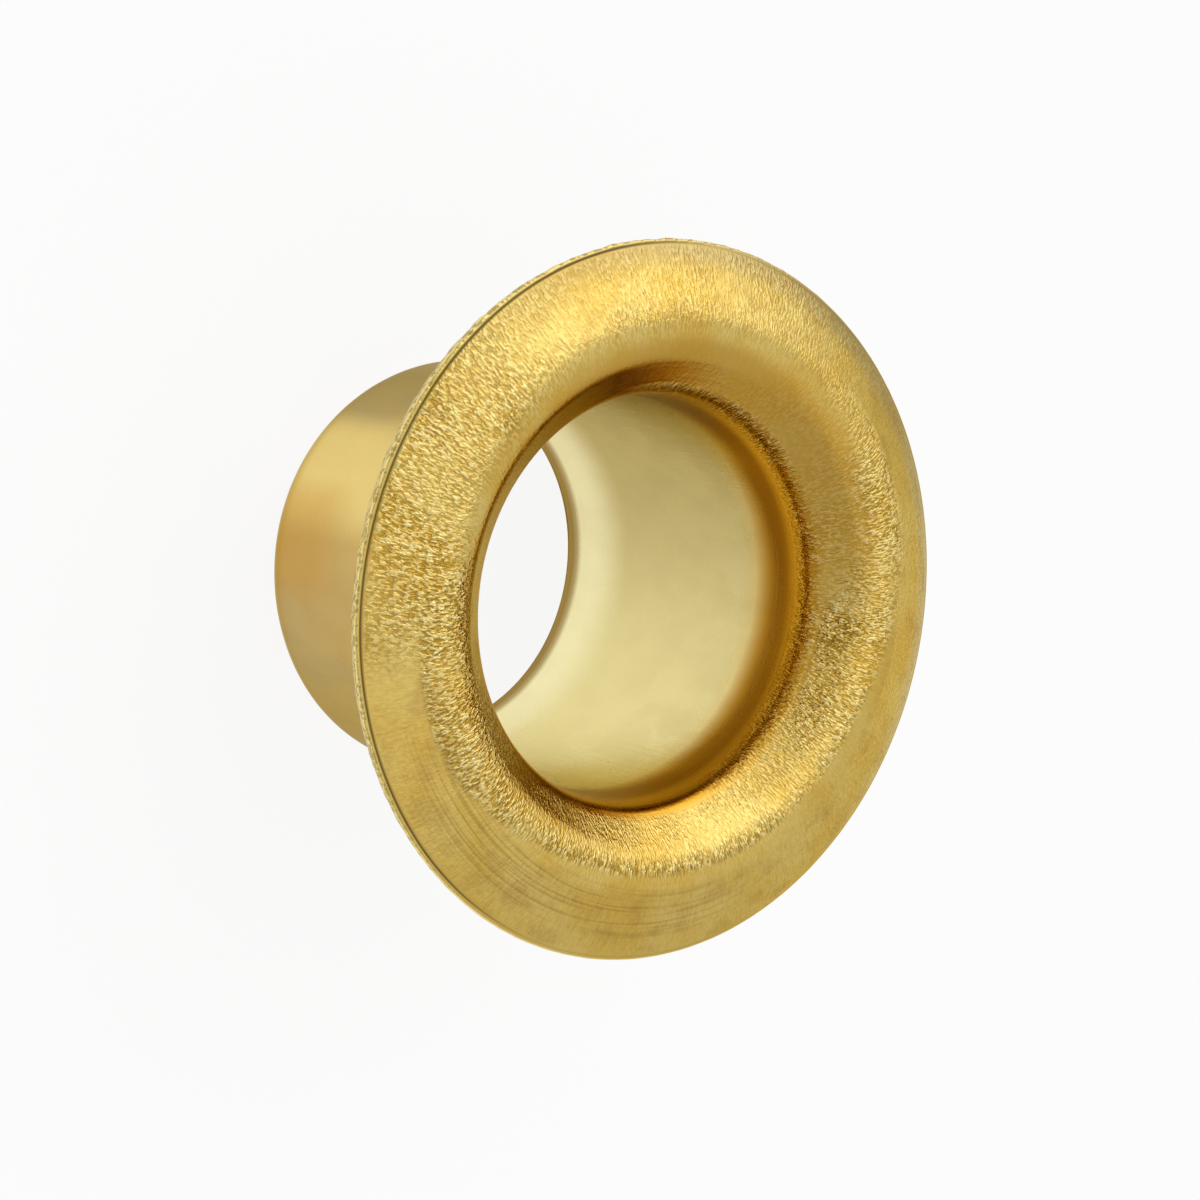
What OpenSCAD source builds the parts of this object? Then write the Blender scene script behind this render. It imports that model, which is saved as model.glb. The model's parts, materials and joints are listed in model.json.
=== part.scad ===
// Brass eyelet, drawn from one disc of thin sheet.
// It stands on the pierced end of its barrel, with the flange on top.
// From the end corner up, the sheet keeps one thickness along its section, which is a chain
// of straights and bends: barrel wall, bell, throat bend, flare, crest bend, flank, rim.
// Below, the drawn corner is thinned towards the hole that is pierced in the barrel end.

/* [Flange] */
// Outer diameter of the flange
flange_d = 10; // [9.6:0.1:12]
// Radius of the top surface where the flange turns over its crest
crest_r = 0.7; // [0.6:0.05:0.8]
// Slope of the flank, from the crest down to the rim, in degrees
flank_slope = 22.5; // [18:0.5:26]
// Radius rolled onto the upper edge of the rim when the disc is punched
rim_edge_r = 0.15; // [0.1:0.01:0.2]

/* [Throat] */
// Radius of the slow bell in which the bore starts to widen, on the side that shows
bell_r = 3; // [2:0.5:4]
// Angle through which the bell turns away from the bore, in degrees
bell_turn = 13; // [10:1:16]
// Radius of the tight bend above the bell, on the side that shows
throat_r = 0.4; // [0.35:0.05:0.6]
// Angle through which the tight bend turns, in degrees
throat_turn = 32; // [28:1:36]
// Length of the straight flare from the tight bend up to the crest
flare_l = 0.5; // [0.3:0.05:0.6]

/* [Barrel] */
// Outer diameter of the barrel
barrel_d = 6.1; // [6:0.05:6.4]
// Height of the whole eyelet, from the barrel end to the crest
total_h = 6.1; // [4.5:0.1:9]
// Outer radius of the drawn corner at the barrel end
end_corner_r = 0.9; // [0.5:0.05:1.1]
// Diameter of the hole pierced in the barrel end, which cuts into that corner
end_hole_d = 5.25; // [4.8:0.05:5.35]
// Height of the pierced edge, where the sheet of the corner is thinnest
lip_h = 0.1; // [0.06:0.01:0.2]

/* [Sheet] */
// Thickness of the sheet
sheet_t = 0.25; // [0.22:0.01:0.3]

/* [Hidden] */
$fn = 96;

// Radii of the barrel's two walls, of the flange and of the pierced hole
barrel_r = barrel_d/2;
bore_r = barrel_r - sheet_t;
flange_r = flange_d/2;
end_hole_r = end_hole_d/2;

// Lean of the flare away from the axis. The crest bend takes the sheet from that lean,
// past level, down to the flank's slope.
flare_lean = bell_turn + throat_turn;
crest_turn = 90 - flare_lean + flank_slope;

// Run and rise of the chain, from the start of the bell to the centre of the crest bend
crest_run = bell_r*(1 - cos(bell_turn)) + throat_r*(cos(bell_turn) - cos(flare_lean))
    + flare_l*sin(flare_lean) + crest_r*cos(flare_lean);
crest_rise = bell_r*sin(bell_turn) + throat_r*(sin(flare_lean) - sin(bell_turn))
    + flare_l*cos(flare_lean) - crest_r*sin(flare_lean);

// Length of the flank that brings the rolled edge of the rim out to the flange's radius
flank_run = flange_r - rim_edge_r - bore_r - crest_run - (crest_r - rim_edge_r)*sin(flank_slope);
flank_l = flank_run/cos(flank_slope);

// Height at which the bell starts, so that the crest comes to total_h
bell_h = total_h - crest_rise - crest_r;

// The eyelet stands on the pierced edge, at height 0. The drawn corner ran on to a flat
// bottom, and the hole reaches past what was flat.
end_flat_r = barrel_r - end_corner_r;
hole_past_flat = max(0, end_hole_r - end_flat_r);
end_corner_h = sqrt(pow(end_corner_r, 2) - pow(hole_past_flat, 2));

// The corner's inner radius has its centre lower, which thins the sheet to lip_h at the hole
inner_corner_r = end_corner_r - sheet_t;
inner_corner_h = lip_h + sqrt(pow(inner_corner_r, 2) - pow(hole_past_flat, 2));

// Length of the edges of the wedge that cuts a ring down to a bend
wedge_reach = 100;

// Point on a circle about the origin
function polar(r, a) = [r*cos(a), r*sin(a)];

// In the chain the sheet runs up along y, and its thickness lies between x = 0 and sheet_t.
// What follows a piece of the chain is drawn at its far end.
module straight(l) {
    square([sheet_t, l]);
    translate([0, l])
        children();
}

// Bend to the right about a centre at x = r: a ring one sheet thick, cut to a wedge
module bend(r, turn) {
    translate([r, 0]) {
        intersection() {
            difference() {
                circle(r);
                circle(r - sheet_t);
            }
            polygon([[0, 0], [-wedge_reach, 0], polar(wedge_reach, 180 - turn/2), polar(wedge_reach, 180 - turn)]);
        }
        rotate(-turn)
            translate([-r, 0])
                children();
    }
}

// Rim: the last of the sheet, rolled round on its upper edge and cut square below
module rim() {
    translate([rim_edge_r, 0])
        square([sheet_t - rim_edge_r, rim_edge_r]);
    intersection() {
        square(rim_edge_r);
        translate([rim_edge_r, 0])
            circle(rim_edge_r);
    }
}

// Barrel wall and flange, from the end corner up to the rim
module wall_and_flange_section() {
    translate([bore_r, end_corner_h])
        straight(bell_h - end_corner_h)
            bend(bell_r, bell_turn)
                bend(throat_r, throat_turn)
                    straight(flare_l)
                        bend(crest_r, crest_turn)
                            straight(flank_l)
                                rim();
}

// Solid bottom with a rounded corner, below the height of the corner's centre
module bottom(r) {
    translate([0, -r])
        square([end_flat_r, r]);
    translate([end_flat_r, 0])
        intersection() {
            circle(r);
            translate([0, -r])
                square(r);
        }
}

// Barrel end: the drawn corner and its bottom, with the hole pierced through them
module end_section() {
    difference() {
        translate([0, end_corner_h])
            bottom(end_corner_r);
        translate([0, inner_corner_h]) {
            bottom(inner_corner_r);
            square([bore_r, end_corner_r]);
        }
        translate([0, -end_corner_r])
            square([end_hole_r, 2*end_corner_r]);
    }
}

// Eyelet: the section turned round the axis
module eyelet() {
    color("#D9B25A")
        rotate_extrude() {
            wall_and_flange_section();
            end_section();
        }
}

eyelet();
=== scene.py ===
# %% [markdown]
# The eyelet in Blender
# This lesson dresses one drawn brass eyelet: a thin-walled barrel with a flared round flange.
# The CAD model fixes its size and place. Blender adds what a camera sees: the softened
# edges, the wavering of thin sheet, the orange-peel grain of the flange and the metal itself.

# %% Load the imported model
import json
import math

import bpy
from mathutils import Matrix, Vector, noise


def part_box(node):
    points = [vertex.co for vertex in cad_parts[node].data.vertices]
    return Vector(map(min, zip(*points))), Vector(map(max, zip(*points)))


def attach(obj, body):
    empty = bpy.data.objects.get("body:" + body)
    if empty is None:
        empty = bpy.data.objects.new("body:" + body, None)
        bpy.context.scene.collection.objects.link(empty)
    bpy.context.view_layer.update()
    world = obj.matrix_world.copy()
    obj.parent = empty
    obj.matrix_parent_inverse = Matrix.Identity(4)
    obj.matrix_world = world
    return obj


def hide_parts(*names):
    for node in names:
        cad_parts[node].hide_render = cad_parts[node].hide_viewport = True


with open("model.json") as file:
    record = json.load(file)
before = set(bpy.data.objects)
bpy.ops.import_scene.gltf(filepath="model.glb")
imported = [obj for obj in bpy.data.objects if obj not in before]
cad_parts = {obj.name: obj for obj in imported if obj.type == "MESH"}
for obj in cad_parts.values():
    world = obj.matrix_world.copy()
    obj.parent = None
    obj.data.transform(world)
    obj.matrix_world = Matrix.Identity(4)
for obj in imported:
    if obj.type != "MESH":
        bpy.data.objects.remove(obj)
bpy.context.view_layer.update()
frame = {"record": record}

# %% [markdown]
# Driving sizes
# The eyelet is drawn from one disc, so a single line of sheet gives its whole section.
# The sizes could be typed in again, but then they could drift from the CAD model. So the
# overall ones are read from the frame: its box, and the two mounts, which give the radius of
# the bore, the radius of the barrel and the stretch over which each side of it is straight.

# %% Read the sizes from the frame
MM = 0.001

low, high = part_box("eyelet")
mounts = {mount["name"]: mount for mount in frame["record"]["mounts"]}

flange_r = (high.x - low.x)/2/MM
total_h = (high.z - low.z)/MM
bore_r = mounts["bore"]["dims"]["r_mm"]
barrel_r = mounts["barrel"]["dims"]["r_mm"]
sheet_t = barrel_r - bore_r

bore_low = mounts["bore"]["pos_m"][2]/MM - mounts["bore"]["dims"]["length_mm"]/2
bore_high = mounts["bore"]["pos_m"][2]/MM + mounts["bore"]["dims"]["length_mm"]/2
barrel_low = mounts["barrel"]["pos_m"][2]/MM - mounts["barrel"]["dims"]["length_mm"]/2

print(f"flange {2*flange_r:.3f} mm, height {total_h:.3f} mm, sheet {sheet_t:.3f} mm")
print(f"bore radius {bore_r:.3f} mm, straight from {bore_low:.3f} to {bore_high:.3f} mm")

# %% [markdown]
# Bends
# Drawing turns the sheet over several bends. At the barrel's end is a drawn corner, thinned
# where the hole is pierced. Above the wall the bore opens in a slow bell, then turns over a
# tight bend into a straight flare, and the crest rolls it over into the flank. The rim's upper
# edge is rolled a little by the punch. These are the CAD model's own values.

# %% Set the radii, in millimetres, and the turns
end_corner_r = 0.9
bell_r = 3
bell_turn = math.radians(13)
throat_r = 0.4
throat_turn = math.radians(32)
flare_l = 0.5
crest_r = 0.7
flank_slope = math.radians(22.5)
rim_edge_r = 0.15


def on_circle(centre, radius, angle):
    return Vector((centre[0] + radius*math.cos(angle), centre[1] + radius*math.sin(angle)))


# %% Find the centres of the bends
# An angle here points from a bend's centre to the side of the sheet that shows
bell_a = math.pi - bell_turn
flare_a = bell_a - throat_turn
flank_a = math.pi/2 - flank_slope
up_the_flare = on_circle((0, 0), 1, flare_a - math.pi/2)
down_the_flank = on_circle((0, 0), 1, flank_a - math.pi/2)

bell_c = Vector((bore_r + bell_r, bore_high))
throat_c = on_circle(bell_c, bell_r - throat_r, bell_a)
crest_c = on_circle(throat_c, throat_r - crest_r, flare_a) + up_the_flare*flare_l
rim_x = flange_r - rim_edge_r
flank_l = (rim_x - on_circle(crest_c, crest_r - rim_edge_r, flank_a).x)/down_the_flank.x
rim_c = on_circle(crest_c, crest_r - rim_edge_r, flank_a) + down_the_flank*flank_l

end_c = Vector((barrel_r - end_corner_r, barrel_low))
hole_r = end_c.x + math.sqrt(end_corner_r**2 - barrel_low**2)
print(f"crest at radius {crest_c.x:.3f}, height {crest_c.y + crest_r:.3f} mm")
print(f"flank {flank_l:.3f} mm long; pierced hole radius {hole_r:.3f} mm")

# %% [markdown]
# Line of the section
# A lathe profile could be a handful of points and a bevel, but a satin metal shows every
# flat between them. So each straight and each arc is sampled by its own step: fine on the
# flange, which the camera looks at, and coarse on the straight walls.

# %% Sample straights and arcs
def straight(start, end, step):
    count = max(1, round((end - start).length/step))
    return [start.lerp(end, i/count) for i in range(count)]


def arc(centre, radius, start, end, step):
    count = max(2, round(radius*abs(end - start)/step))
    return [on_circle(centre, radius, start + (end - start)*i/count) for i in range(count)]


# %% [markdown]
# Softened corners
# Piercing and punching leave three corners: both edges of the hole in the barrel's end, and
# the lower edge of the rim. Tumbling wears them to a radius of a few hundredths of a
# millimetre. A bevel modifier could do this, but here a short curve between the two
# neighbouring stretches keeps the section's spacing even.

# %% Ease a corner between two stretches
def eased(before, corner, after, count=4):
    curve = []
    for i in range(count + 1):
        t = i/count
        curve.append(before*(1 - t)**2 + corner*2*t*(1 - t) + after*t**2)
    return curve


worn_hole = 0.035
worn_rim = 0.03
print(f"worn corners: hole {worn_hole} mm, rim {worn_rim} mm")

# %% [markdown]
# Two forms finer than the CAD model's
# Both lie within 0.05 mm of it. The punch left a narrow bead on the rim's upper edge, tighter
# than the plain radius. And inside the barrel's end the wall doesn't turn in at once: it
# tapers slowly over the last millimetre, down to the thin pierced lip. The section could
# follow the CAD model's plain arcs here too, but light on the rim and in the bore shows the
# difference, so both are drawn as arcs of their own.

# %% Place the bead and the taper
bead_r = 0.06
bead_set_back = 0.03
taper_h = 1.0

lip = Vector((hole_r, bore_low - math.sqrt((end_corner_r - sheet_t)**2 - (hole_r - end_c.x)**2)))
lip_in = bore_r - lip.x
taper_r = (lip_in**2 + (taper_h - lip.y)**2)/(2*lip_in)
taper_c = Vector((bore_r - taper_r, taper_h))
bead_c = rim_c + down_the_flank*(rim_edge_r - bead_set_back - bead_r)
bead_c += on_circle((0, 0), rim_edge_r - bead_r, flank_a)
print(f"bead reaches radius {bead_c.x + bead_r:.3f} mm; taper radius {taper_r:.2f} mm")

# %% Walk once round the sheet
FINEST = 0.012
FINE = 0.045
MEDIUM = 0.08
COARSE = 0.3
CREASE_BAND = 0.12

foot_a = -math.acos((hole_r - end_c.x)/end_corner_r)
lip_a = math.asin((lip.y - taper_h)/taper_r)
foot = Vector((hole_r, 0))
foot_start = on_circle(end_c, end_corner_r, foot_a + worn_hole/end_corner_r)
lip_start = on_circle(taper_c, taper_r, lip_a + worn_hole/taper_r)
worn_up = Vector((0, worn_hole))
# A fifth of a worn corner's height stays straight between the hole's two worn edges
lip_end = foot + worn_up*1.2

rim_top = on_circle(bead_c, bead_r, flank_a)
rim_side = on_circle(bead_c, bead_r, flank_a - math.pi/2)
rim_low = on_circle(rim_side, bead_r - sheet_t, flank_a)
cut_up = on_circle((0, 0), worn_rim, flank_a)
flank_end = rim_top - down_the_flank*CREASE_BAND

stretches = [
    ("foot", eased(foot + worn_up, foot, foot_start)),
    ("end", arc(end_c, end_corner_r, foot_a + worn_hole/end_corner_r, 0, MEDIUM)[1:]),
    ("barrel", straight(Vector((barrel_r, barrel_low)), Vector((barrel_r, bore_high)), COARSE)),
    ("under_bell", arc(bell_c, bell_r - sheet_t, math.pi, bell_a, 2*MEDIUM)),
    ("under_throat", arc(throat_c, throat_r - sheet_t, bell_a, flare_a, MEDIUM/2)),
    ("under_flare", straight(on_circle(throat_c, throat_r - sheet_t, flare_a),
                             on_circle(crest_c, crest_r - sheet_t, flare_a), 2*MEDIUM)),
    ("under_crest", arc(crest_c, crest_r - sheet_t, flare_a, flank_a, MEDIUM)),
    ("under_flank", straight(on_circle(crest_c, crest_r - sheet_t, flank_a),
                             rim_low - down_the_flank*worn_rim, 2*MEDIUM)),
    ("rim_corner", eased(rim_low - down_the_flank*worn_rim, rim_low, rim_low + cut_up)),
    ("rim_cut", straight(rim_low + cut_up, rim_side, FINE)[1:]),
    ("rim_roll", arc(bead_c, bead_r, flank_a - math.pi/2, flank_a, FINEST)),
    ("crease", straight(rim_top, flank_end, FINEST)),
    ("flank", straight(flank_end, on_circle(crest_c, crest_r, flank_a), FINE)),
    ("crest", arc(crest_c, crest_r, flank_a, flare_a, FINE)),
    ("flare", straight(on_circle(crest_c, crest_r, flare_a), on_circle(throat_c, throat_r, flare_a), FINE)),
    ("throat", arc(throat_c, throat_r, flare_a, bell_a, FINE/1.5)),
    ("bell", arc(bell_c, bell_r, bell_a, math.pi, MEDIUM)),
    ("wall", straight(Vector((bore_r, bore_high)), Vector((bore_r, taper_h)), COARSE)),
    ("taper", arc(taper_c, taper_r, 0, lip_a + worn_hole/taper_r, MEDIUM)),
    ("hole_lip", eased(lip_start, lip, lip_end)),
]

section = []
starts = {}
for name, points in stretches:
    starts[name] = len(section)
    section.extend(points)
print(len(section), "points in the section;", len(stretches), "stretches")

# %% Measure along the section
along = [0.0]
for before, after in zip(section, section[1:]):
    along.append(along[-1] + (after - before).length)
station = {name: along[index] for name, index in starts.items()}
station["crest_top"] = station["crest"] + crest_r*flank_slope
print("stations, mm:", {name: round(at, 3) for name, at in station.items()})


def section_normal(i):
    tangent = section[(i + 1) % len(section)] - section[i - 1]
    return Vector((tangent.y, -tangent.x)).normalized()


normals = [section_normal(i) for i in range(len(section))]

# %% [markdown]
# What the surface is like from place to place
# One piece of brass, but not one finish, and not the same finish all the way round. Each
# finish could be a material with hard borders, but on the real piece they run into each other,
# so each is a weight from 0 to 1 that is stored on the mesh. Some of these weights carry
# painted light and shade instead of a finish. Each fades in and out along the section, and most
# fade towards one side too: the finishes because a punch never sits quite true and no piece
# tumbles evenly, the painted light and shade because the light falls from one side.

# %% Fade in along the section
def ramp(start, end, at):
    t = min(1, max(0, (at - start)/(end - start)))
    return t*t*(3 - 2*t)


def past(stretch, start, end, at):
    # The start and the end are in millimetres past the place where the stretch begins
    return ramp(station[stretch] + start, station[stretch] + end, at)


# %% Fade in towards a side
# Each side has an amount, its direction round the axis in degrees, and the two cosines of the
# angle to it between which it fades in. The amount is a share, or millimetres where the name
# says that the peel starts or reaches somewhere.
SIDES = {
    "peel starts further in": (0.5, 30, 0, 0.85),
    "peel reaches over the crest": (0.3, 20, -0.6, -0.2),
    "peel reaches the flare": (0.65, 20, -0.1, 0.3),
    "peel worn": (0.62, -175, 0.45, 0.8),
    "peel worn past the crest": (0.65, 10, 0.35, 0.8),
    "peel kept past its border": (0.3, 110, 0.3, 0.8),
    "flank peeled lightly": (0.17, -165, 0.5, 0.9),
    "flank peeled": (0.75, -100, 0.84, 0.97),
    "throat peeled": (0.6, 120, -0.1, 0.4),
    "flank ringed": (1, -14, 0.6, 0.97),
    # The next three sides place painted shade: orange on the flare, dark in the bell and on the crest's
    # inside
    "flare shaded orange": (0.55, 170, 0.1, 0.8),
    "bell shaded dark": (0.7, 90, -0.3, 0.4),
    "crest shaded dark": (0.17, 165, 0.1, 0.8),
    # This side places a pale sheen painted on the rim's roll
    "rim sheen": (1, 140, -0.1, 0.8),
    "rim dulled": (1, 178, 0.3, 0.85),
    "rim rough": (0.8, -115, -0.1, 0.6),
    "crease deep": (0.8, -95, 0.1, 0.55),
    # These four place painted shade on two sides of the barrel, a painted highlight and a painted warm
    # reflection
    "barrel shaded": (1, -165, 0.45, 0.95),
    "barrel shaded less": (0.5, -55, 0.6, 0.98),
    "barrel highlight": (1, -109, 0.935, 0.99),
    "barrel warm reflection": (1, -88, 0.94, 0.995),
}


def towards(side, angle):
    amount, direction_deg, start, end = SIDES[side]
    return amount*ramp(start, end, math.cos(angle - math.radians(direction_deg)))


print(len(SIDES), "sides named")

# %% [markdown]
# Orange peel
# Stretching roughens brass into an orange peel. Here it is a band round the flange, from the
# top of the flank to just past the crest. The band lies further in on one side, is calmer on
# others, and runs out over the whole flank in one place. Some has come up in the throat too.
# It could be painted by hand, but fades with named borders are easier to change.

# %% Weigh the orange peel
# The peel starts and ends at these millimetres past the top of the crest, and its borders fade
# over these half widths. The last two are shares.
PEEL_STARTS = -0.42
PEEL_ENDS = 0.05
SHARP_BORDER = 0.07
SOFT_BORDER = 0.2
FADES_BY = 0.85
FLANK_PEEL = 0.13


def orange_peel(at, angle):
    outer = PEEL_STARTS + towards("peel starts further in", angle)
    on_crest = past("crest_top", outer - SHARP_BORDER, outer + SHARP_BORDER, at)
    on_crest *= 1 - towards("peel worn", angle)
    on_crest *= 1 - towards("peel worn past the crest", angle)*past("crest_top", 0.1, 0.4, at)
    on_flank = FLANK_PEEL + towards("flank peeled lightly", angle) + towards("flank peeled", angle)
    on_flank *= past("crease", 0, 0.1, at)

    inner = PEEL_ENDS + towards("peel reaches over the crest", angle)
    inner += towards("peel reaches the flare", angle)
    fades = FADES_BY*(1 - towards("peel kept past its border", angle))
    kept = 1 - fades*past("crest_top", inner - SOFT_BORDER, inner + SOFT_BORDER, at)
    kept *= 1 - past("throat", -0.1, 0, at)
    in_throat = past("throat", -0.12, 0, at)*(1 - past("bell", -0.1, 0.2, at))
    in_throat *= towards("throat peeled", angle)
    return max(min(1, max(on_flank, on_crest))*kept, in_throat)


# %% [markdown]
# Where the other finishes and the painted light lie
# The punch ironed the throat smooth, and the flare above it on one side, and both are painted a
# darker orange there as shade. It left rings on the flank as it turned, and a fine crease where
# it rolled the rim. The rim is a cut edge, roughest on one side, with a pale sheen painted on its
# roll on one side and a dull stretch beside it. The barrel slid through a die and kept fine lines
# along its length. It is painted grey with shade on two sides, with a painted highlight in one
# place and a painted warm reflection in another. The bore wall was never tumbled and keeps a pale
# dry film, and the bell above it, with the crest's inside on one side, is painted dark as shade.
# The hole's edges are painted darker as shade.

# %% Weigh the other finishes
# The crease is in millimetres, and the rest are the shares left on the sides that have least
CREASE_WIDTH = 0.013
CREASE_SET_IN = 0.015
LEAST_CREASE = 0.2
LEAST_ROUGH = 0.2
BELL_SHADE = 0.3


def crease(at, angle):
    aside = at - station["crease"] - CREASE_SET_IN
    return (LEAST_CREASE + towards("crease deep", angle))*math.exp(-(aside/CREASE_WIDTH)**2)


def rim_finishes(at, angle):
    cut = past("rim_corner", -0.05, 0, at)*(1 - past("crease", -0.06, 0.01, at))
    rolled = ramp(station["rim_roll"], station["crease"], at)
    return {"cut_edge": cut,
            "rough_cut": cut*(LEAST_ROUGH + towards("rim rough", angle)),
            "crease": crease(at, angle),
            # A pale sheen painted on the rim's roll on one side, where its shape would catch the light
            "rim_sheen": towards("rim sheen", angle)*rolled*(1 - past("crease", 0.08, 0.4, at)),
            "dulled": towards("rim dulled", angle)*rolled*(1 - past("crease", 0.05, 0.6, at))}


def flange_finishes(at, angle):
    short_of_crest = 1 - past("crest", 0, 0.3, at)
    # A darker orange painted as shade on one side of the flare, and below all round the throat
    flare_shaded_orange = towards("flare shaded orange", angle)*past("crest_top", 0, 0.35, at)
    # The bell, and the crest's inside on one side, are painted dark brown as shade
    dark_shade = (BELL_SHADE + towards("bell shaded dark", angle))*past("bell", 0.1, 0.35, at)
    dark_shade *= 1 - past("wall", -0.15, 0.3, at)
    dark_shade += towards("crest shaded dark", angle)*past("crest_top", 0, 0.25, at)
    ringed = towards("flank ringed", angle)*past("crest_top", -1.0, -0.7, at)
    return {"orange_peel": orange_peel(at, angle),
            "tumbled_flank": past("crease", 0, 0.1, at)*short_of_crest,
            "turning_rings": ringed*short_of_crest,
            "smoothed_and_shaded": max(flare_shaded_orange, past("throat", -0.15, 0.05, at)),
            "dark_shade": dark_shade,
            "dry_film": past("wall", -0.1, 0.5, at)}


def barrel_finishes(at, angle):
    die = ramp(station["end"], station["barrel"], at)
    die *= 1 - ramp(station["under_throat"], station["under_crest"], at)
    # Painted grey shade on two sides of the barrel
    side_shade = towards("barrel shaded", angle) + towards("barrel shaded less", angle)
    # A warm orange reflection painted near the barrel's end, on one side
    warm_reflection = towards("barrel warm reflection", angle)*(1 - past("barrel", 0.5, 2, at))
    return {"die_lines": die,
            "side_shade": die*side_shade,
            # A highlight painted on one side of the barrel
            "painted_highlight": die*towards("barrel highlight", angle),
            "warm_reflection": die*warm_reflection,
            # The hole's two edges are painted darker as shade
            "hole_edge_shade": past("hole_lip", -0.14, -0.05, at) + 1 - past("foot", 0.04, 0.1, at)}


def finish_weights(at, angle):
    return {**rim_finishes(at, angle), **flange_finishes(at, angle), **barrel_finishes(at, angle)}


# %% Weigh every point of the surface
AROUND = 560
angles = [2*math.pi*j/AROUND for j in range(AROUND)]
weights = [[finish_weights(at, angle) for at in along] for angle in angles]
peeled = sum(w["orange_peel"] > 0.5 for row in weights for w in row)
print(f"{peeled/AROUND/len(section):.0%} of the surface points have orange peel")

# %% [markdown]
# Relief of thin sheet
# A real eyelet isn't a perfect turned ring. The thin flange wavers by a few hundredths of
# a millimetre, its cut rim is slightly ragged and beaded, and the peel has real height. The
# crease beside the rim is a few hundredths deep too. A displacement modifier could add this
# from a texture, but a function of the place is as short, and it gives the same mesh on each
# run. The place is taken on a plain cylinder, so that nothing is squeezed near the bore.

# %% Define the relief
# Each swell has its height in mm, its waves per mm round and along, and a shift in the noise
WAVER = (0.022, 0.22, 0.35, 7)
PEEL_SWELL = (0.003, 6, 2.6, 0)
RAGGED = (0.009, 4.5, 0, 3)
BEADING = (0.014, 11, 5, 9)
CREASE_DEPTH = 0.016
WRAP_R = 4.2


def wrapped(i, angle):
    return Vector((WRAP_R*math.cos(angle), WRAP_R*math.sin(angle), along[i]))


def swell(here, kind):
    size, waves_round, waves_along, shift = kind
    return size*noise.noise(Vector((here.x*waves_round, here.y*waves_round, here.z*waves_along + shift)))


def relief(here, weight):
    height = swell(here, WAVER) + weight["orange_peel"]*swell(here, PEEL_SWELL)
    height += weight["rough_cut"]*(swell(here, RAGGED) + swell(here, BEADING))
    return height - CREASE_DEPTH*weight["crease"]


# %% [markdown]
# One mesh for one sheet
# The eyelet is one piece of sheet, so it is one closed mesh: the section, repeated round the
# axis and joined to itself. A screw modifier could turn the section, but the relief and the
# finishes differ from point to point, so the points are placed one by one.

# %% Turn the section into a mesh
count = len(section)
vertices = []
for angle, row in zip(angles, weights):
    c, s = math.cos(angle), math.sin(angle)
    for i in range(count):
        r, z = section[i] + normals[i]*relief(wrapped(i, angle), row[i])
        vertices.append((r*c*MM, r*s*MM, z*MM))

faces = []
for j in range(AROUND):
    this, following = j*count, (j + 1) % AROUND*count
    for i in range(count):
        k = (i + 1) % count
        faces.append((this + i, following + i, following + k, this + k))

mesh = bpy.data.meshes.new("drawn_eyelet")
mesh.from_pydata(vertices, [], faces)
mesh.update()
mesh.shade_smooth()
eyelet = bpy.data.objects.new("drawn_eyelet", mesh)
bpy.context.scene.collection.objects.link(eyelet)
print(len(vertices), "vertices,", 2*len(faces), "triangles")

# %% Store the place and the finish weights on the mesh
place = mesh.attributes.new("place_mm", "FLOAT_VECTOR", "POINT")
flat = []
for angle in angles:
    for i in range(count):
        flat.extend(wrapped(i, angle))
place.data.foreach_set("vector", flat)

for name in weights[0][0]:
    attribute = mesh.attributes.new(name, "FLOAT", "POINT")
    attribute.data.foreach_set("value", [w[name] for row in weights for w in row])
print("stored:", [a.name for a in mesh.attributes if not a.name.startswith(".")])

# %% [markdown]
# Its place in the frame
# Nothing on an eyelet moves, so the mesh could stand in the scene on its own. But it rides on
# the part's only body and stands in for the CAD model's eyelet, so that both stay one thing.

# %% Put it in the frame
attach(eyelet, "root")
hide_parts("eyelet")

# %% [markdown]
# Colours and nodes
# Colours are picked as sRGB hex values, as on a screen, but the shader reckons in linear
# light, so one function converts them. A second function adds a node with its settings and
# its links, which keeps each material short enough to read. A node given as an input is
# linked from its first output that is in use. Inputs are given by name, or by number where
# several share one name.

# %% Helpers for materials
def linear(hex_colour):
    channels = [int(hex_colour[i:i + 2], 16)/255 for i in (1, 3, 5)]
    return [c/12.92 if c <= 0.04045 else ((c + 0.055)/1.055)**2.4 for c in channels] + [1]


def add(tree, kind, inputs=None, **settings):
    node = tree.nodes.new(kind)
    node.location = (200*len(tree.nodes), 0)
    for name, value in settings.items():
        setattr(node, name, value)
    for key, value in (inputs or {}).items():
        if isinstance(value, bpy.types.Node):
            value = next(socket for socket in value.outputs if socket.enabled)
        if isinstance(value, bpy.types.NodeSocket):
            tree.links.new(value, node.inputs[key])
        else:
            node.inputs[key].default_value = value
    return node


print("the grey #808080 in linear light:", round(linear("#808080")[0], 3))

# %% [markdown]
# Yellow brass, drawn and tumbled
# The metal is common yellow brass, about two thirds copper. It was drawn from strip and
# tumbled, which leaves a satin and not a mirror: the eye sees broad soft reflections, broken
# into small glints where the orange peel tilts them. A metal takes its colour from what it
# reflects, so the base colour is its tint, metallic is 1 and the IOR stays at its default.

# %% Start the brass
brass = bpy.data.materials.new("yellow_brass_drawn_and_tumbled")
brass.use_nodes = True
tree = brass.node_tree
tree.nodes.clear()

place_mm = add(tree, "ShaderNodeAttribute", attribute_name="place_mm").outputs["Vector"]
finish = {name: add(tree, "ShaderNodeAttribute", attribute_name=name).outputs["Fac"]
          for name in weights[0][0]}

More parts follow.
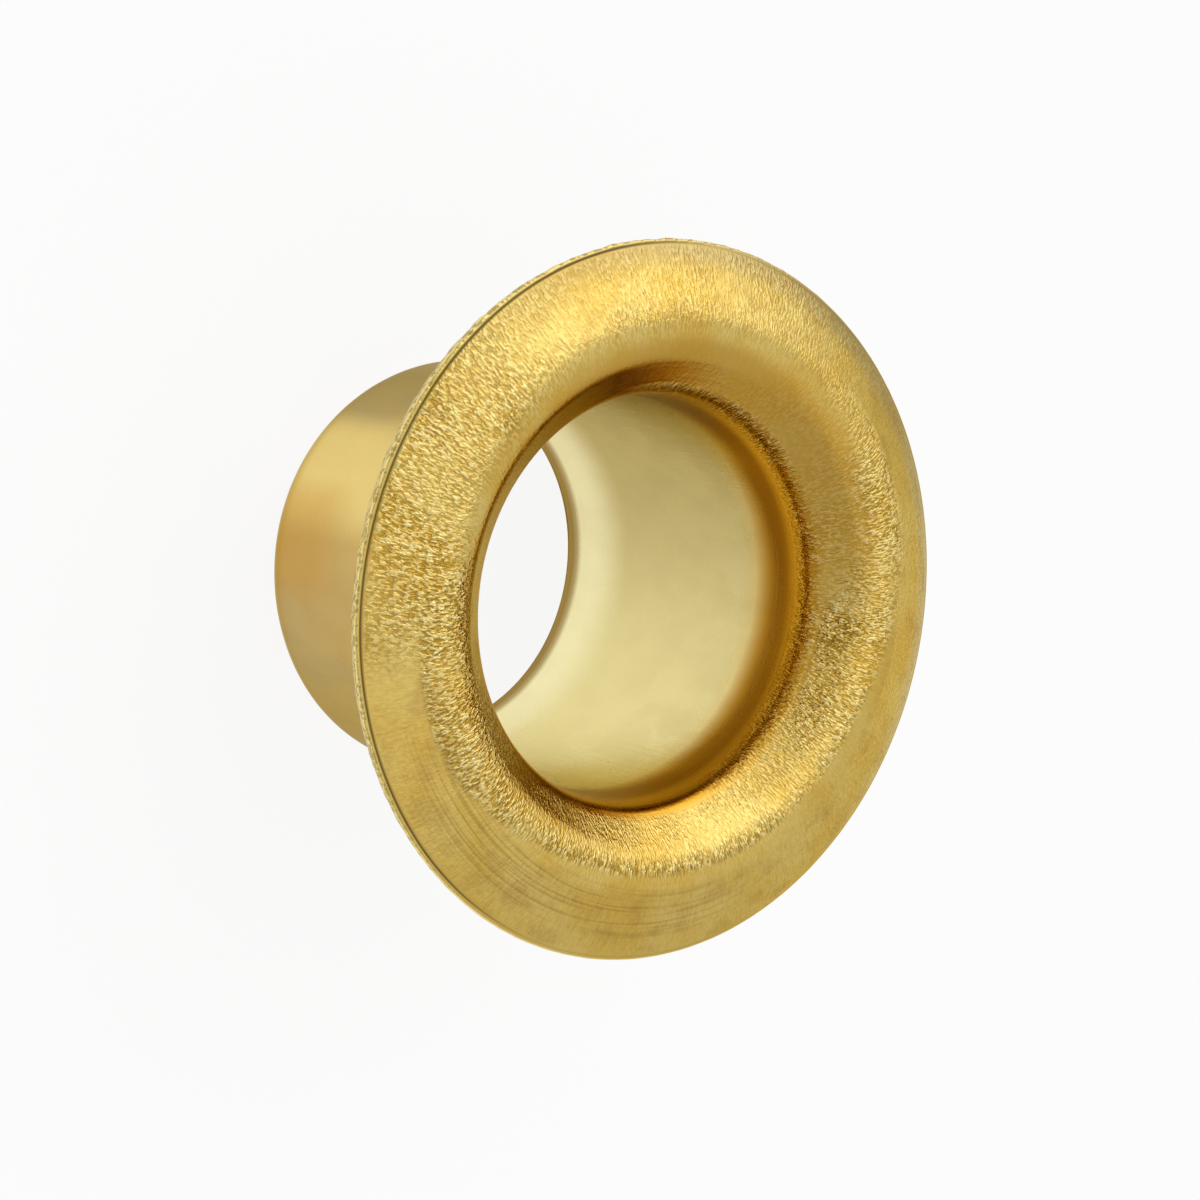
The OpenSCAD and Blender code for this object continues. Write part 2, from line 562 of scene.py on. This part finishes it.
# %% [markdown]
# Patterns at their real size
# Each pattern is noise over the place stored on the mesh, in millimetres, so its scale is
# one over a real size. Stretching the place along or across the section turns round specks
# into wrinkles, streaks or rings. Raising the contrast between a low and a high value leaves
# clear islands and gaps instead of an even haze. A painted image could carry the same marks,
# but it would blur close up and show a seam, and noise does neither.

# %% Make noise with a grain of a given size
def grain(across_mm, along_mm, low=0.3, high=0.7, detail=1.0, distortion=0.0, shift=0.0):
    sized = add(tree, "ShaderNodeVectorMath", {0: place_mm, 1: (1/across_mm, 1/across_mm, 1/along_mm),
                                               2: (shift, shift, shift)}, operation="MULTIPLY_ADD")
    specks = add(tree, "ShaderNodeTexNoise", {"Vector": sized, "Scale": 1.0, "Detail": detail,
                                             "Distortion": distortion})
    return add(tree, "ShaderNodeMapRange", {"Value": specks, "From Min": low, "From Max": high},
               interpolation_type="SMOOTHSTEP")


# %% [markdown]
# Orange peel and its company
# The peel is made of short wrinkles that lie along the stretch of the metal, out from the
# axis, each about 0.04 mm wide and 0.09 mm long. They come and go in patches. Under them lie
# a shallower grain and streaks from tumbling, rings from the turning punch, deeper on one
# side, and the die's long lines on the barrel. The cut rim has nicks. The die's lines and the
# streaks are finer on the real piece, and are drawn just coarse enough to show. Real
# displacement this fine would need millions of faces, so it is bump.

# %% Make the patterns of the relief
wrinkles = grain(0.036, 0.085, low=0.2, high=0.8, detail=1.5, distortion=0.4)
tumbled = grain(0.04, 0.04, detail=2.0, shift=11.0)
rings = grain(2.5, 0.045, detail=2.0, shift=17.0)
die_lines = grain(0.06, 3.0, detail=2.0, shift=23.0)
streaks = grain(0.07, 1.3, detail=1.5, shift=29.0)
nicks = grain(0.07, 0.12, low=0.4, high=0.6, shift=97.0)

PATCHY = 0.4
patches = grain(0.9, 0.9, low=0.3, high=0.6, shift=5.0)
patches = add(tree, "ShaderNodeMath", {0: patches, 1: PATCHY, 2: 1 - PATCHY}, operation="MULTIPLY_ADD")
peel = add(tree, "ShaderNodeMath", {0: patches, 1: finish["orange_peel"]}, operation="MULTIPLY")

# %% Raise the relief, in metres
EVERYWHERE = 1.0
heights = [
    (wrinkles, peel, 26e-6),
    (tumbled, EVERYWHERE, 0.6e-6),
    (rings, EVERYWHERE, 0.6e-6),
    (rings, finish["turning_rings"], 3e-6),
    (nicks, finish["rough_cut"], 12e-6),
    (streaks, EVERYWHERE, 0.7e-6),
    (die_lines, finish["die_lines"], 0.6e-6),
]
height = 0.0
for pattern, where, size in heights:
    raised = add(tree, "ShaderNodeMath", {0: where, 1: size}, operation="MULTIPLY")
    height = add(tree, "ShaderNodeMath", {0: pattern, 1: raised, 2: height}, operation="MULTIPLY_ADD")
bump = add(tree, "ShaderNodeBump", {"Height": height, "Distance": 1.0, "Strength": 1.0})
print(len(heights), "kinds of relief in the bump")

# %% [markdown]
# Film and barrel
# The dry film in the bore is an oxide, a pale straw. It is painted darker on one side and
# lighter on the other as shade and light, and lighter still towards the pierced end as a painted
# highlight. The barrel is a little greyer than the flange, and painted darker and greyer towards
# its end as shade. Both could be noise, but they change slowly and one way, so each is a fade
# over the place on the mesh.

# %% Fade the film and the barrel
# Film in painted shade, light and end highlight; barrel end in painted shade
FILM_SHADED = "#C9B878"
FILM_LIT = "#FAEBA8"
FILM_END_HIGHLIGHT = "#FFF4BC"
BARREL_LOW_SHADE = "#D2B374"
BARREL_TOP = "#E6C26C"

at_place = add(tree, "ShaderNodeSeparateXYZ", {"Vector": place_mm}).outputs


def fade(axis, start, end, before, after):
    share = add(tree, "ShaderNodeMapRange", {"Value": at_place[axis], "From Min": start, "From Max": end},
                interpolation_type="SMOOTHSTEP")
    return add(tree, "ShaderNodeMix", {0: share, 6: before, 7: after}, data_type="RGBA")


# The film is painted darker on one side and lighter on the other, as shade and light
film = fade("X", -WRAP_R, WRAP_R, linear(FILM_SHADED), linear(FILM_LIT))
# and painted lighter towards the pierced end, as a highlight
film = fade("Z", station["taper"] - 0.4, station["hole_lip"] - 0.3, film, linear(FILM_END_HIGHLIGHT))
# The barrel is painted darker and greyer towards its end, as shade
barrel = fade("Z", station["end"], station["under_bell"], linear(BARREL_LOW_SHADE), linear(BARREL_TOP))
print("the film is painted lighter from", round(station["taper"] - 0.4, 2), "mm along the section")

# %% [markdown]
# Tint, tarnish and painted light
# Clean brass is a pale gold, warmer where tumbling wore it less. Tarnish gathers in the rings
# and between the nicks. The hollows of the peel and the crease are painted dark as shade, and
# the peaks of the peel are painted bright as glints. The flank has dull patches and fine scuffs,
# the barrel orange and grey stains, next to its painted shade, highlight and warm reflection.
# The tints could be blended in pairs, but a list of layers, each over the one before, shows
# what covers what: a pattern, the finish that limits it, the share it covers and its colour.

# %% Make the patterns of the tarnish, and of the painted shade and glints on the peel
mottle = grain(1.3, 1.3, low=0.35, high=0.65, detail=3.0, shift=31.0)
stain = grain(1.4, 1.0, low=0.5, high=0.75, shift=53.0)
smut = grain(0.7, 1.6, low=0.45, high=0.75, shift=61.0)
dull = grain(0.45, 0.3, low=0.48, high=0.68, detail=3.0, shift=71.0)
scuffs = grain(0.035, 0.3, low=0.5, high=0.7, detail=2.0, shift=83.0)

# The peel's hollows are painted dark, as shade
hollow_shade = add(tree, "ShaderNodeMapRange", {"Value": wrinkles, "From Min": 0.5, "From Max": 0.25})
# and its peaks painted bright, as glints
peak_glints = add(tree, "ShaderNodeMapRange", {"Value": wrinkles, "From Min": 0.52, "From Max": 0.76})
ring_lines = add(tree, "ShaderNodeMapRange", {"Value": rings, "From Min": 0.5, "From Max": 0.1})
gaps = add(tree, "ShaderNodeMapRange", {"Value": nicks, "From Min": 0.5, "From Max": 0.0})

# %% Mix the tints
GOLD = "#EDCE73"
# The orange serves real stains and a painted warm reflection, the grey real stains and painted shade
ORANGE_FOR_STAIN_AND_REFLECTION = "#D09A40"
GREY_FOR_STAIN_AND_SHADE = "#A0977A"
layers = [
    (mottle, EVERYWHERE, 1, linear("#E6BF5A")),
    # Painted shade: a darker orange in the throat, and on the flare on one side
    (EVERYWHERE, finish["smoothed_and_shaded"], 1, linear("#DCA634")),
    # The barrel's colour, painted darker towards its end as shade
    (EVERYWHERE, finish["die_lines"], 1, barrel),
    (stain, finish["die_lines"], 0.3, linear(ORANGE_FOR_STAIN_AND_REFLECTION)),
    (smut, finish["die_lines"], 0.22, linear(GREY_FOR_STAIN_AND_SHADE)),
    # Painted grey shade on two sides of the barrel
    (EVERYWHERE, finish["side_shade"], 0.6, linear(GREY_FOR_STAIN_AND_SHADE)),
    # A painted highlight on the barrel
    (EVERYWHERE, finish["painted_highlight"], 0.85, linear("#F8DE90")),
    # A painted warm reflection on the barrel
    (EVERYWHERE, finish["warm_reflection"], 0.5, linear(ORANGE_FOR_STAIN_AND_REFLECTION)),
    # A painted pale sheen on the rim's roll
    (EVERYWHERE, finish["rim_sheen"], 0.6, linear("#D9CBA0")),
    (EVERYWHERE, finish["dulled"], 0.6, linear("#A98E4A")),
    # The film, with its painted shade, light and highlight
    (EVERYWHERE, finish["dry_film"], 1, film),
    # Painted shade in the bell and on the crest's inside
    (EVERYWHERE, finish["dark_shade"], 0.75, linear("#7E4D0C")),
    (EVERYWHERE, finish["cut_edge"], 1, linear("#F4DC8E")),
    # The hole's edges, painted darker as shade
    (EVERYWHERE, finish["hole_edge_shade"], 0.9, linear("#94701F")),
    (dull, finish["tumbled_flank"], 0.4, linear("#C79F52")),
    (scuffs, finish["tumbled_flank"], 0.2, linear("#AC883F")),
    (ring_lines, finish["turning_rings"], 0.35, linear("#96691F")),
    (gaps, finish["rough_cut"], 0.55, linear("#7A6126")),
    # Painted shade in the peel's hollows
    (hollow_shade, peel, 0.72, linear("#A27716")),
    # Painted glints on the peel's peaks
    (peak_glints, peel, 0.9, linear("#FFEAA0")),
    # Painted shade along the crease
    (EVERYWHERE, finish["crease"], 0.95, linear("#2A1A04")),
]
tint = linear(GOLD)
for pattern, where, share, colour in layers:
    limited = add(tree, "ShaderNodeMath", {0: where, 1: share}, operation="MULTIPLY")
    covered = add(tree, "ShaderNodeMath", {0: pattern, 1: limited}, operation="MULTIPLY")
    tint = add(tree, "ShaderNodeMix", {0: covered, 6: tint, 7: colour}, data_type="RGBA")
print(len(layers), "layers of tint over the plain gold")

# %% [markdown]
# Gloss
# Tumbled brass is satin, a little glossier in some patches than in others. The dry film and
# the die's lines dull it. One roughness could serve for all, but then every reflection would
# be equally sharp, and that gives a render away. A real metal also turns paler where it is seen
# at a grazing angle, which the specular tint sets, and less so on the darker barrel.

# %% Vary the gloss and join it all
GLOSSIEST = 0.14
GLOSS_RANGE = 0.08
FILM_DULLS = 0.1
BARREL_DULLS = 0.1
GRAZING = "#E0D8C0"
GRAZING_BARREL = "#D2C49C"
roughness = grain(0.7, 0.7, detail=3.0, shift=41.0)
roughness = add(tree, "ShaderNodeMath", {0: roughness, 1: GLOSS_RANGE, 2: GLOSSIEST},
                operation="MULTIPLY_ADD")
for weight, dulls in ((finish["dry_film"], FILM_DULLS), (finish["die_lines"], BARREL_DULLS)):
    roughness = add(tree, "ShaderNodeMath", {0: weight, 1: dulls, 2: roughness}, operation="MULTIPLY_ADD")

at_edge = add(tree, "ShaderNodeMix", {0: finish["die_lines"], 6: linear(GRAZING), 7: linear(GRAZING_BARREL)},
              data_type="RGBA")
metal = add(tree, "ShaderNodeBsdfPrincipled", {"Base Color": tint, "Metallic": 1.0, "Roughness": roughness,
                                              "Specular Tint": at_edge, "Normal": bump})
add(tree, "ShaderNodeOutputMaterial", {"Surface": metal})
mesh.materials.append(brass)
print(len(tree.nodes), "nodes in", brass.name)

# %% [markdown]
# Floor
# The eyelet stands on plain white paper. The paper could be a bright diffuse sheet, but lit
# at a plain level it would come out grey. So most of what the camera and the metal see of it
# is its own even white, and the rest is lit by the tent, which keeps a faint shadow.

# %% Lay the floor
FLOOR_HALF = 0.6
LIT_SHARE = 0.11
PAPER = "#E8E8E8"
floor_mesh = bpy.data.meshes.new("white_paper")
corners = [(-FLOOR_HALF, -FLOOR_HALF, 0), (FLOOR_HALF, -FLOOR_HALF, 0),
           (FLOOR_HALF, FLOOR_HALF, 0), (-FLOOR_HALF, FLOOR_HALF, 0)]
floor_mesh.from_pydata(corners, [], [(0, 1, 2, 3)])
floor = bpy.data.objects.new("white_paper", floor_mesh)
bpy.context.scene.collection.objects.link(floor)
floor.location.z = low.z

paper = bpy.data.materials.new("white_paper")
paper.use_nodes = True
tree = paper.node_tree
tree.nodes.clear()
rays = add(tree, "ShaderNodeLightPath").outputs
white = rays["Is Camera Ray"]
for ray in ("Is Glossy Ray", "Is Transmission Ray"):
    white = add(tree, "ShaderNodeMath", {0: white, 1: rays[ray]}, operation="MAXIMUM")
lit = add(tree, "ShaderNodeBsdfDiffuse", {"Color": (LIT_SHARE, LIT_SHARE, LIT_SHARE, 1)})
own = add(tree, "ShaderNodeEmission", {"Color": (1, 1, 1, 1), "Strength": 1 - LIT_SHARE})
bright = add(tree, "ShaderNodeAddShader", {0: lit, 1: own})
plain = add(tree, "ShaderNodeBsdfDiffuse", {"Color": linear(PAPER)})
either = add(tree, "ShaderNodeMixShader", {0: white, 1: plain, 2: bright})
add(tree, "ShaderNodeOutputMaterial", {"Surface": either})
floor_mesh.materials.append(paper)

# %% [markdown]
# Light tent
# Small shiny things are photographed inside a tent of white cloth, because a metal shows its
# surroundings and bare lamps would burn in as spots. A lamp behind one wall of the tent makes
# that wall brighter. Area lamps could stand for the walls, but the world does it with less
# noise: an even level all round, with soft round patches that are brighter.

# %% Light the world
# Each patch has the direction of its centre, the angles from there at which it starts to fade
# and is gone, in degrees, and the level it adds
TENT = 0.52
PATCHES = [
    ("lamp behind the wall", Vector((-0.837, 0.224, 0.5)), 10, 45, 0.98),
    ("roof", Vector((0, 0, 1)), 15, 50, 0.27),
    ("wall beyond the eyelet", Vector((-0.168, 0.951, 0.259)), 10, 45, 0.12),
    ("far corner of the tent", Vector((0.556, 0.617, 0.556)), 5, 45, 0.1),
]
world = bpy.data.worlds.new("light_tent")
world.use_nodes = True
bpy.context.scene.world = world
tree = world.node_tree
tree.nodes.clear()
direction = add(tree, "ShaderNodeTexCoord").outputs["Generated"]

strength = TENT
for name, centre, inner_deg, outer_deg, level in PATCHES:
    aligned = add(tree, "ShaderNodeVectorMath", {0: direction, 1: tuple(centre.normalized())},
                  operation="DOT_PRODUCT")
    patch = add(tree, "ShaderNodeMapRange", {"Value": aligned.outputs["Value"],
                                             "From Min": math.cos(math.radians(outer_deg)),
                                             "From Max": math.cos(math.radians(inner_deg)),
                                             "To Max": level}, interpolation_type="SMOOTHSTEP")
    strength = add(tree, "ShaderNodeMath", {0: patch, 1: strength}, operation="ADD")
    print(f"{name}: {level:+.2f} within {inner_deg} to {outer_deg} degrees")
sky = add(tree, "ShaderNodeBackground", {"Color": (1, 1, 1, 1), "Strength": strength})
add(tree, "ShaderNodeOutputWorld", {"Surface": sky})

# %% [markdown]
# Camera
# The photograph looks down at the flange at about 52 degrees, close enough for a little
# perspective, and the camera is turned on its side, so that the eyelet's axis leans to the
# right of the picture. The camera could be moved by hand until the picture fits, but placing
# it from measured angles and shares keeps it right if the size changes.

# %% Place the camera
# The eyelet's axis leans from the view by LEAN. PERSPECTIVE is the flange's radius over the
# camera's distance, SCALE is that radius over the picture's width, and the picture's middle
# is off the crest's centre by OFF_X and OFF_Y of that radius.
LEAN = math.radians(38.085)
ROLL = math.radians(11.108)
PERSPECTIVE = 0.11
SCALE = 365.409/1200
OFF_X = 0.2185
OFF_Y = 0.0191
SENSOR_MM = 36

view = Vector((0, -math.sin(LEAN), math.cos(LEAN)))
away = Vector((0, math.cos(LEAN), math.sin(LEAN)))
x_axis = Vector((1, 0, 0))
right = away*math.cos(ROLL) - x_axis*math.sin(ROLL)
up = -away*math.sin(ROLL) - x_axis*math.cos(ROLL)

radius = flange_r*MM
crest_centre = Vector((0, 0, high.z))
aim = crest_centre - (right*OFF_X - up*OFF_Y)*radius
camera_data = bpy.data.cameras.new("camera")
camera_data.sensor_width = SENSOR_MM
camera_data.lens = SENSOR_MM*SCALE/PERSPECTIVE
camera_data.clip_start = MM
camera = bpy.data.objects.new("camera", camera_data)
bpy.context.scene.collection.objects.link(camera)
placed = Matrix((right, up, view)).transposed().to_4x4()
placed.translation = aim + view*(radius/PERSPECTIVE)
camera.matrix_world = placed
bpy.context.scene.camera = camera
print("camera at", [round(c, 4) for c in placed.translation], "lens", round(camera_data.lens, 2))

# With this view transform, colours show as they are written
bpy.context.scene.view_settings.view_transform = "Standard"
